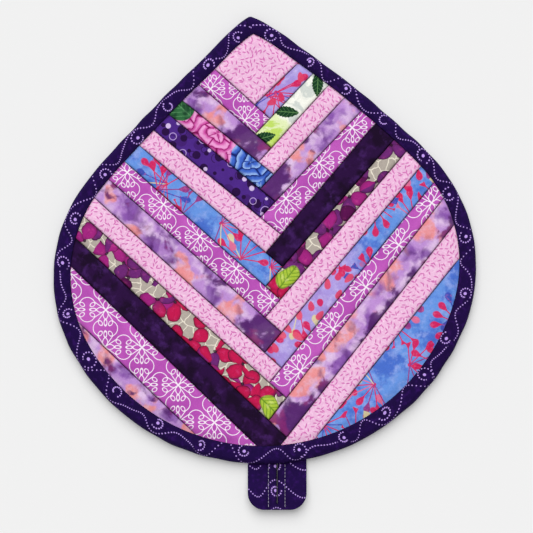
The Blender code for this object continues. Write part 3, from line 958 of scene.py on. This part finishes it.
def sewnEdges(name, shortest):
    # the straight edges of a strip that the binding leaves free: where each starts, and its run
    bottom = hull(level(name, padLevels["strips"]))
    rim = loopPoints(outerRadius)
    for a, b in zip(bottom, np.roll(bottom, -1, axis=0)):
        if np.linalg.norm(b - a) >= shortest and distanceInside((a + b)[None] / 2, rim)[0] >= strip["covered"]:
            yield a, b - a


def seamLines(name):
    # a strip's sewing lines: a point on each, its direction outwards and its length
    lines = []
    for start, run in sewnEdges(name, strip["longSeam"] if name.endswith("13") else strip["shortest"]):
        length = np.linalg.norm(run)
        normal = -leftOf(run) / length
        if lines and np.dot(lines[-1][1], normal) > 0.9995:
            lines[-1][2] += length
        else:
            lines.append([start, normal, length])
    if len(lines) > 1 and np.dot(lines[0][1], lines[-1][1]) > 0.9995:
        lines[0][2] += lines.pop()[2]
    return lines


def foldRuns(name):
    # a strip's longest sewn edge, from end to end, where the needle also goes through the backing
    upper = [(a, run) for a, run in sewnEdges(name, 0) if run[0] < 0 or name == "top_patch"]
    if not upper:
        return []
    start, run = max(upper, key=lambda edge: np.linalg.norm(edge[1]))
    return [(start, start + run)]


# distance from a strip's nearest seam, which sets its painted seam shade; the band is narrower on the side with the
# rolled fold
def seamGap(points, seams):
    gap = np.full(len(points), 8 * mm)
    for point, normal, _ in seams:
        inward = -((points - point) @ normal)
        gap = np.minimum(gap, inward * (1.5 if normal[1] > 0 else 1.0) + strip["overlap"])
    return gap


def stripHeight(points, seams, seed):
    x, y = points[:, 0], points[:, 1]
    height = strip["full"] + ripple(x, y, *strip["swell"], seed) + ripple(x, y, *strip["fineSwell"], seed + 50)
    floor = np.full(len(points), strip["full"])
    for point, normal, _ in seams:
        inward = -((points - point) @ normal)
        along = (points - point) @ leftOf(normal)
        pucker = np.sin(along / strip["puckerPitch"] * 2 * pi + 3 * np.sin(along / (11 * mm)) + seed)
        height = height + pucker * strip["pucker"] * np.exp(-inward / strip["puckerReach"])
        fall, reach, press = strip["fold"] if normal[1] > 0 else strip["dip"]
        floor = np.minimum(floor, strip["full"] - fall * roundEdge(inward / reach) - slope(inward, *press))
    height = height - (strip["full"] - floor)
    under = distanceInside(points, loopPoints(frontRadius))
    held = smoothStep((under + 0.3 * mm) / (4.5 * mm))
    height = strip["underFlap"] + (height - strip["underFlap"]) * held
    return np.clip(np.minimum(height, strip["highest"]), padLevels["strips"] + 0.1 * mm, None)


def makeStrip(name, cloth, slot, seed, turn, startX, startY, scale=1.0):
    seams = seamLines(name)
    outline = loopPoints(outerRadius - strip["tucked"] * edgeSlant)
    for point, normal, _ in seams:
        outline = clip(outline, point + normal * strip["overlap"], normal)
    own = max(seams, key=lambda seam: seam[2] * (1 if seam[1][1] > 0 or name == "top_patch" else 0.5))
    far = [seam for seam in seams if np.dot(seam[1], own[1]) < -0.9]
    first = own[0] + own[1] * strip["overlap"]
    along = leftOf(own[1])
    deepest = -((outline - first) @ own[1]).min()
    if far:
        point, normal, _ = far[0]
        last, lastAlong = point + normal * strip["overlap"], -leftOf(normal)
    else:
        last, lastAlong = first - own[1] * deepest, along
    middle = outline.mean(axis=0)
    first = first + along * ((middle - first) @ along)
    last = last + lastAlong * ((middle - last) @ lastAlong)
    width = np.linalg.norm(last - first)
    rows = closeness(max(4, round(width / strip["spacing"])), strip["closer"], width)
    rows = np.clip(rows, 1e-4, 1 - (1e-4 if far else 2e-3))
    spans = []
    for share in rows:
        point = first + (last - first) * share
        direction = along + (lastAlong - along) * share
        direction /= np.linalg.norm(direction)
        depth = (point - outline) @ leftOf(direction)
        cross = (depth > 0) != (np.roll(depth, -1) > 0)
        before, after = outline[cross], np.roll(outline, -1, axis=0)[cross]
        share = depth[cross] / (depth[cross] - np.roll(depth, -1)[cross])
        hit = before + (after - before) * share[:, None]
        reach = (hit - point) @ direction
        spans.append((point, direction, reach.min(), reach.max()))
    longest = max(end - start for _, _, start, end in spans)
    columns = closeness(max(4, round(longest / strip["spacing"])), strip["closer"], longest)
    plan = np.array([[point + direction * (start + (end - start) * stop) for stop in columns]
                     for point, direction, start, end in spans])
    flat = plan.reshape(-1, 2)
    height = stripHeight(flat, seams, seed).reshape(plan.shape[:2])
    turn = math.radians(turn)
    x, y = (plan[..., 0] / mm - startX) / scale, (plan[..., 1] / mm - startY) / scale
    mapping = np.stack((x * math.cos(turn) + y * math.sin(turn), y * math.cos(turn) - x * math.sin(turn)), axis=2)
    # painted shade along the strip's seams
    near = seamGap(flat, seams).reshape(plan.shape[:2])
    piece = addGrid("sewn_" + name, raised(plan, height), cloth, mapping, near)
    edit(piece)
    chooseOpenEdges()
    closeAt(padLevels["strips"], -0.1 * mm)
    finishPadded(piece, slot, name)


# Binding: a strip folded over the edge, its two ends mitred at the point

binding = {
    "nose": 3.3 * mm,                 # how far in from the outside the edge starts to round over
    "cloth": 0.9 * mm,
    "crown": 7.12 * mm,
    "crownAt": 0.36,                  # how far across the front the crown lies
    "roll": [(0.14, 5.97), (0.03, 6.10), (0.0, 6.28), (0.05, 6.48), (0.18, 6.66), (0.42, 6.80), (0.85, 6.92)],
    "backRoll": [(0.95, 0.0), (0.38, 0.03), (0.1, 0.18), (0.0, 0.44), (0.1, 0.70), (0.38, 0.87), (0.95, 0.9)],
    "stepsAcross": 14,
    "noseSteps": 16,
    "innerSteps": 8,
    "fold": (-17.5, 0.42 * mm),       # the mitre's fold: degrees from straight up, and its height
    "wrinkle": (13 * mm, 0.07 * mm),
    "fineWrinkle": (5 * mm, 0.035 * mm),
    "waver": (21 * mm, 0.16 * mm),    # of its outer edge
}


def roundNose(start, reach, first, last, steps, shown):
    # rings round the nose from one height to another
    turns = [pi * step / steps - pi / 2 for step in range(1, steps)]
    return [(start + reach * edgeSlant * math.cos(turn),
             (first + last) / 2 + (last - first) / 2 * math.sin(turn), shown) for turn in turns]


def makeBinding(cloth):
    # each ring is a radius all round, a height, and 1 where wrinkles may show
    nose = binding["nose"]
    start = outerRadius - nose * edgeSlant
    rings = [(frontRadius + d * mm * edgeSlant, z * mm, 0.0 if z < 6.2 else 1.0) for d, z in binding["roll"]]
    rolled = binding["roll"][-1]
    low, high, at = rolled[1] * mm, binding["crown"], binding["crownAt"]
    first = rings[-1][0]
    for step in range(1, binding["stepsAcross"] + 1):
        t = step / binding["stepsAcross"]
        if t < at:
            z = high - (high - low) * (1 - t / at) ** 2
        else:
            z = high - (high - padLevels["top"]) * ((t - at) / (1 - at)) ** 2
        rings.append((first + (start - first) * t, z, 1.0))
    rings += roundNose(start, nose, padLevels["top"], 0.0, binding["noseSteps"], 1.0)
    rings.append((start, 0.0, 0.0))
    rings += [(backRadius + d * mm * edgeSlant, z * mm, 0.0) for d, z in binding["backRoll"]]
    rings.append((start, binding["cloth"], 0.0))
    inner = nose - binding["cloth"]
    rings += roundNose(start, inner, binding["cloth"], padLevels["flap"], binding["innerSteps"], 0.0)
    rings.append((start, padLevels["flap"], 0.0))
    rings.append((frontRadius + 0.5 * mm * edgeSlant, padLevels["flap"], 0.0))
    rings.append(rings[0])

    radius = np.array([np.broadcast_to(r, angles.shape) for r, _, _ in rings]).T
    height = np.array([np.full(angles.shape, z) for _, z, _ in rings]).T
    shown = np.array([w for _, _, w in rings])
    middleLine = (outerRadius + frontRadius) / 2
    along = loopPoints(middleLine)
    run = np.concatenate(([0.0], np.cumsum(np.linalg.norm(np.diff(along, axis=0), axis=1))))
    whole = run[-1] + np.linalg.norm(along[0] - along[-1])
    plan = np.array([outward * radius[:, [i]] for i in range(len(rings))]).transpose(1, 0, 2)
    steps = np.hypot(np.diff(radius, axis=1) / edgeSlant[:, None], np.diff(height, axis=1))
    across = np.concatenate((np.zeros((len(angles), 1)), np.cumsum(steps, axis=1)), axis=1)
    tangent = np.gradient(along, axis=0)
    tangent /= np.linalg.norm(tangent, axis=1)[:, None]
    lean = (outward * tangent).sum(axis=1)

    # soft unevenness of the cloth, and the fold of the mitre
    u = run[:, None] + (radius - middleLine[:, None]) * lean[:, None]
    wrinkle = ripple(u, across * 2.2, *binding["wrinkle"], 71)
    wrinkle = wrinkle + ripple(u + across * 0.7, across, *binding["fineWrinkle"], 72)
    height = height + wrinkle * shown * np.clip(height / mm, 0, 1)
    outwardness = np.clip((across - 6 * mm) / (3 * mm), 0, 1) * shown
    radius = radius + ripple(u, u * 0, *binding["waver"], 73) * outwardness
    plan = outward[:, None, :] * radius[..., None]
    corner = loopPoints(frontRadius)[0]
    turn, lift = math.radians(binding["fold"][0]), binding["fold"][1]
    side = (plan - corner) @ np.array((math.cos(turn), -math.sin(turn)))
    above = (plan - corner) @ np.array((math.sin(turn), math.cos(turn)))
    near = dent(side, 1, 4.5 * mm) * (above > -1 * mm)
    step = 1 / (1 + np.exp(np.clip(side / (0.16 * mm), -40, 40)))
    height = height + (step - 0.55) * lift * near * shown * np.clip(height / padLevels["top"], 0, 1) ** 2

    mapping = closed(np.stack((u, across), axis=2)) / mm
    mapping[-1, :, 0] += whole / mm
    # painted shade along the mitre's fold and along the binding's inner edge, where it meets the strips
    mitre = np.abs(side) * 1.3 + np.clip(0.5 * mm - above, 0, 1) * 9
    crease = np.minimum(mitre, np.clip(across - 0.3 * mm, 0, 1) * 0.45)
    piece = addGrid("foldedBinding", closed(raised(plan, height)), cloth, mapping, closed(crease))
    edit(piece)
    merge()
    finishPadded(piece, "binding_cloth", "binding")


# Hanging loop: a strap folded flat, sewn along both legs

loop = {
    "middle": (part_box("hanging_loop")[0].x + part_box("hanging_loop")[1].x) / 2,
    "width": 15.8 * mm,
    "slit": 0.12 * mm,                 # the legs all but touch
    "slitEnd": 3.6 * mm,
    "thick": 1.4 * mm,
    "corner": 9.2 * mm,
    "tail": 6.6 * mm,                 # how far the legs reach into the binding
    "lift": 4.2 * mm,                 # how high the free end stands over the table
    "stitches": (4.76 * mm, 4.3 * mm),    # from the slit, on the left leg and the right
    "across": 30,
    "rise": 19 * mm,                  # how far from the pad it takes to reach that height
    # pairs of a height or depth and its reach: between the stitches, at them, at the edges and at the slit
    "pillow": (0.16 * mm, 2.2 * mm),
    "stitched": (0.30 * mm, 0.42 * mm),
    "rounding": (0.42 * mm, 0.6 * mm),
    "slitRounding": (0.6 * mm, 0.9 * mm),
    "cornerCrease": (0.20 * mm, 0.35 * mm),
    "cornerFlap": 0.12 * mm,
    "wrinkle": (11 * mm, 0.05 * mm),
    "fineWrinkle": (4 * mm, 0.02 * mm),
}
padBottom = -outerRadius[np.argmin(outward[:, 1] * outerRadius)]
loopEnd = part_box("hanging_loop")[0].y


def loopUnderside(y):
    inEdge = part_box("hanging_loop")[0].z + 1.29 * mm
    out = smoothStep((padBottom - 0.5 * mm - y) / loop["rise"])
    return inEdge + (loop["lift"] - inEdge) * out


def loopStations():
    # places on the strap's slit side and on its outer side, down one leg
    outer, inner = loop["width"] + 0.3 * mm, loop["slit"] / 2
    centre = np.array((outer - loop["corner"], loopEnd + loop["corner"]))
    heights = np.linspace(padBottom + loop["tail"], centre[1], 34)
    half = [((inner, y), (outer, y)) for y in heights[:-1]]
    turnAt = loopEnd + loop["slitEnd"]
    for step in range(29):
        share = step / 28
        down = min(share / 0.5, 1)
        around = pi / 2 * max(share - 0.5, 0) / 0.5
        nearY = centre[1] + (turnAt + inner - centre[1]) * down
        near = (inner * math.cos(around), nearY - inner * math.sin(around))
        sweep = pi / 2 * min(share / 0.72, 1)
        far = [centre[0] + loop["corner"] * math.cos(sweep), centre[1] - loop["corner"] * math.sin(sweep)]
        far[0] -= centre[0] * max((share - 0.72) / 0.28, 0)
        half.append((near, tuple(far)))
    mirrored = [((-a, b), (-c, d)) for (a, b), (c, d) in half[-2::-1]]
    return np.array(half + mirrored)


def stitchGap(x):
    # how far across the strap it is to its leg's line of stitches
    left, right = loop["stitches"]
    return np.where(x < 0, np.abs(-x - left), np.abs(x - right))


def loopEdge(inset, width):
    depth, reach = loop["rounding"]
    return depth * roundEdge(np.minimum(inset, width - inset) / reach)


def loopTop(x, y, inset, width):
    # pillow between the edges and the stitches, with the folds of the corners
    sewn = stitchGap(x)
    height = loop["thick"] + loop["pillow"][0] - slope(sewn, *loop["pillow"]) - dent(sewn, *loop["stitched"])
    height = height - loopEdge(inset, width) - slope(inset, *loop["slitRounding"])
    lower = y - loopEnd
    fold = (np.abs(x) - 3.4 * mm) - (lower - 0.4 * mm) * 1.05
    crease = dent(fold, *loop["cornerCrease"]) * (np.abs(x) > 3.0 * mm)
    height = height + (loop["cornerFlap"] * (fold > 0) - crease) * (lower < 9 * mm)
    return height + ripple(x, y, *loop["wrinkle"], 81) + ripple(x, y, *loop["fineWrinkle"], 82)


def makeLoop(cloth):
    stations = loopStations()
    near, far = stations[:, 0], stations[:, 1]
    middle = np.linspace(0.07, 0.93, loop["across"])
    stops = np.concatenate(([0.0, 0.012, 0.035], middle, [0.965, 0.988, 1.0]))
    plan = near[:, None, :] + (far - near)[:, None, :] * stops[None, :, None]
    width = np.linalg.norm(far - near, axis=1)[:, None]
    inset = width * stops[None, :]
    x, y = plan[..., 0], plan[..., 1]
    under = loopUnderside(y)
    top = under + loopTop(x, y, inset, width)
    bottom = under + loopEdge(inset, width)
    around = np.concatenate((plan, plan[:, ::-1], plan[:, :1]), axis=1)
    height = np.concatenate((top, bottom[:, ::-1], top[:, :1]), axis=1)
    places = raised(around, height)
    places[..., 0] += loop["middle"]
    mapping = places[..., :2] / mm + np.array((0, 400))
    # painted shade in the slit between the legs and along the lines of stitches
    crease = np.minimum(inset * 0.45, stitchGap(x) * 1.1 + 0.22 * mm)
    crease = np.concatenate((crease, crease[:, ::-1], crease[:, :1]), axis=1)
    piece = addGrid("hangingStrap", places, cloth, mapping, crease)
    edit(piece)
    merge()
    chooseOpenEdges()
    bpy.ops.mesh.fill()
    finishPadded(piece, "binding_cloth", "hanging_loop")


# Stitches: one is modelled, the rest are copies of it laid along the sewn lines

thread = {
    "length": 2.0 * mm,
    "thick": 0.32 * mm,
    "pitch": 1.98 * mm,
    "loopColour": (188, 178, 202),
    "backColour": (96, 60, 134),
}


def sewStitches(name, places, cloth, slot):
    # places are middles and directions in plan, with the height and slope of the cloth there
    bpy.ops.object.select_all(action="DESELECT")
    bpy.ops.mesh.primitive_uv_sphere_add(segments=8, ring_count=6, radius=1)
    first = bpy.context.object
    mesh = first.data
    copies = []
    ball = np.array([vertex.co for vertex in mesh.vertices], float)
    for middle, direction, height, slope in places:
        along = ball[:, 2] * thread["length"] / 2
        side = ball[:, 0] * thread["thick"] / 2
        plan = middle + along[:, None] * direction + side[:, None] * leftOf(direction)
        # the ends dive into the cloth
        lift = height + slope * along + ball[:, 1] * thread["thick"] / 2 - 0.2 * mm * ball[:, 2] ** 4
        copy = first.copy()
        copy.data = mesh.copy()
        copy.data.vertices.foreach_set("co", np.column_stack((plan, lift)).ravel())
        bpy.context.scene.collection.objects.link(copy)
        copies.append(copy)
    bpy.data.objects.remove(first)
    bpy.ops.object.select_all(action="DESELECT")
    for copy in copies:
        copy.select_set(True)
    piece = copies[0]
    bpy.context.view_layer.objects.active = piece
    bpy.ops.object.join()
    piece.name = name
    piece.data.name = name
    piece.data.materials.append(cloth)
    edit(piece)
    finishPiece(piece, slot)


def sewLoop():
    places = []
    left, right = loop["stitches"]
    for x in (-left, right):
        y = padBottom - 1.0 * mm
        while y > loopEnd + 1.2 * mm:
            low, here, high = (loopUnderside(at) + float(loopTop(np.array(x), np.array(at), left, loop["width"]))
                               for at in (y - 0.8 * mm, y, y + 0.8 * mm))
            middle = np.array((x + loop["middle"], y))
            places.append((middle, np.array((0.0, 1.0)), here + 0.06 * mm, (high - low) / (1.6 * mm)))
            y -= thread["pitch"]
    sewStitches("loopStitches", places, makeThread("loopThread", thread["loopColour"]), "binding_cloth")


def sewBacking(seams):
    # the needle's line along each seam shows on the back
    places = []
    rim = loopPoints(backRadius)
    for start, end in seams:
        run = end - start
        reach = np.linalg.norm(run)
        direction = run / reach
        for at in np.arange(thread["pitch"] / 2, reach, thread["pitch"] * 1.3):
            middle = start + direction * at
            inside = distanceInside(middle[None], rim)[0]
            if inside < 1.5 * mm:
                continue
            height = backingHeight(middle[None], np.array([inside]), np.zeros(1))[0]
            places.append((middle, direction, height - 0.05 * mm, 0.0))
    sewStitches("quiltingStitches", places, makeThread("quiltingThread", thread["backColour"]), "backing_cloth")


# Backing: one plain cloth under everything, drawn up along the quilting

backing = {
    "low": 0.10 * mm,                 # how far over the table its soft middle hangs
    "rings": 100,
    "edge": 3.4 * mm,
    "notch": 8.4 * mm,                # kept clear of the loop's tails
    "channel": (0.34 * mm, 1.5 * mm),     # depth and reach of the quilting
    "slack": (17 * mm, 0.06 * mm),
    "drop": 3.5 * mm,                 # how far in from the binding it takes to hang down
    "lowest": 0.02 * mm,
}


def backingHeight(points, inside, sewn):
    height = backing["low"] + slope(inside - 0.2 * mm, padLevels["backing"] - backing["low"], backing["drop"])
    height = height + ripple(points[:, 0], points[:, 1], *backing["slack"], 91) + dent(sewn, *backing["channel"])
    return np.clip(height, backing["lowest"], padLevels["backing"] + 0.1 * mm)


def makeBacking(cloth, seams):
    x, y = outward[:, 0] * outerRadius, outward[:, 1] * outerRadius
    byLoop = smoothStep((loop["width"] + 3.2 * mm - np.abs(x - loop["middle"])) / (2 * mm)) * (y < 0)
    rim = outerRadius - (backing["edge"] + (backing["notch"] - backing["edge"]) * byLoop) * edgeSlant
    shares = np.linspace(0.006, 1, backing["rings"])
    plan = outward[:, None, :] * (rim[:, None] * shares[None, :])[..., None]
    flat = plan.reshape(-1, 2)
    inside = distanceInside(flat, loopPoints(backRadius))
    sewn = np.full(len(flat), 1.0)
    for start, end in seams:
        run = end - start
        reach = np.linalg.norm(run)
        along = np.clip((flat - start) @ run / reach, 0, reach)
        gap = np.linalg.norm(flat - start - along[:, None] * run / reach, axis=1)
        sewn = np.minimum(sewn, gap)
    height = backingHeight(flat, inside, sewn).reshape(plan.shape[:2])
    places = closed(raised(plan, height))
    # painted shade along the quilting lines, where the backing is drawn up into channels
    near = closed(sewn.reshape(plan.shape[:2])) * 0.7 + 0.2 * mm
    piece = addGrid("quiltedBacking", places, cloth, places[..., :2] / mm, near)
    edit(piece)
    merge()
    chooseOpenEdges()
    bpy.ops.object.mode_set(mode="OBJECT")
    # the small hole in the middle is closed, the rim turned up and closed across its top
    mesh = piece.data
    for edge in mesh.edges:
        if edge.select and all(mesh.vertices[v].co.xy.length < 12 * mm for v in edge.vertices):
            edge.select = False
    edit(piece)
    closeAt(padLevels["backingTop"], 0.2 * mm)
    bpy.ops.mesh.select_all(action="DESELECT")
    bpy.ops.mesh.select_non_manifold()
    bpy.ops.mesh.edge_face_add()
    finishPadded(piece, "backing_cloth", "backing")


# Which cloth each strip is cut from: the print's turn, the point where it starts, and its scale;
# the strips lie in pairs from the point down, right and left

topCut = ("dash", 20, 0, 0)
pairedCuts = [
    (("spray", 40, 112, 74), ("scroll", 2.7, -29.8, 95.3, 0.909)),
    (("leaf", 45, 11, 79.4), ("mottle", -37, -40, 20)),
    (("dash", 70, 30, 10), ("bloom", -42, -15.3, 56.4)),
    (("mottle", 43, -33, 79), ("bubble", 30, 10, 40)),
    (("scroll", 1.9, 29.6, 54.8, 0.947), ("dash", 110, 60, 20)),
    (("night", 45, 0, 0), ("spray", 138, 10, 0)),
    (("petal", 232, 12.5, -7.6), ("scroll", 3.6, -35.6, 14.6, 0.947)),
    (("dash", 10, 80, 30), ("mottle", -39.6, -32.7, -82.8)),
    (("spray", 50, 62, 25), ("dash", 80, 15, 90)),
    (("scroll", 7.0, 55.3, -13.0, 1.042), ("petal", 135, 3, -79)),
    (("mottle", 51.6, 12, -86), ("night", 130, 50, 50)),
    (("dash", 150, 45, 65), ("scroll", -1.0, -67.3, -46.1, 1.02)),
    (("spray", 0, 20, -73), ("mottle", -42.4, -78, -170)),
]

setUpPicture()
layTable()
print("camera, lights and table")

cloths = {key: makeCloth(*row) for key, row in prints.items()}
backingCloth = makePlainCloth("plainBacking", (122, 82, 158))
for node, colour in (("insulating_batting", (226, 226, 230)), ("cotton_batting", (244, 240, 230))):
    frame["nodes"][node].material_slots[0].material = makeFelt(node + "_felt", colour)
print("cloths")

slots = {part["node"]: part["material_slot"] for part in frame["record"]["subparts"]}
seamRuns = []
cuts = {"top_patch": topCut}
for number, pair in enumerate(pairedCuts, 1):
    for side, cut in zip(("right", "left"), pair):
        cuts[f"{side}_strip_{number:02}"] = cut
for index, (name, (kind, *placing)) in enumerate(cuts.items()):
    makeStrip(name, cloths[kind], slots[name], index, *placing)
    seamRuns += foldRuns(name)
print("strips")

makeBinding(cloths["dot"])
makeLoop(cloths["dot"])
sewLoop()
makeBacking(backingCloth, seamRuns)
sewBacking(seamRuns)
print("binding, loop, backing and stitches")
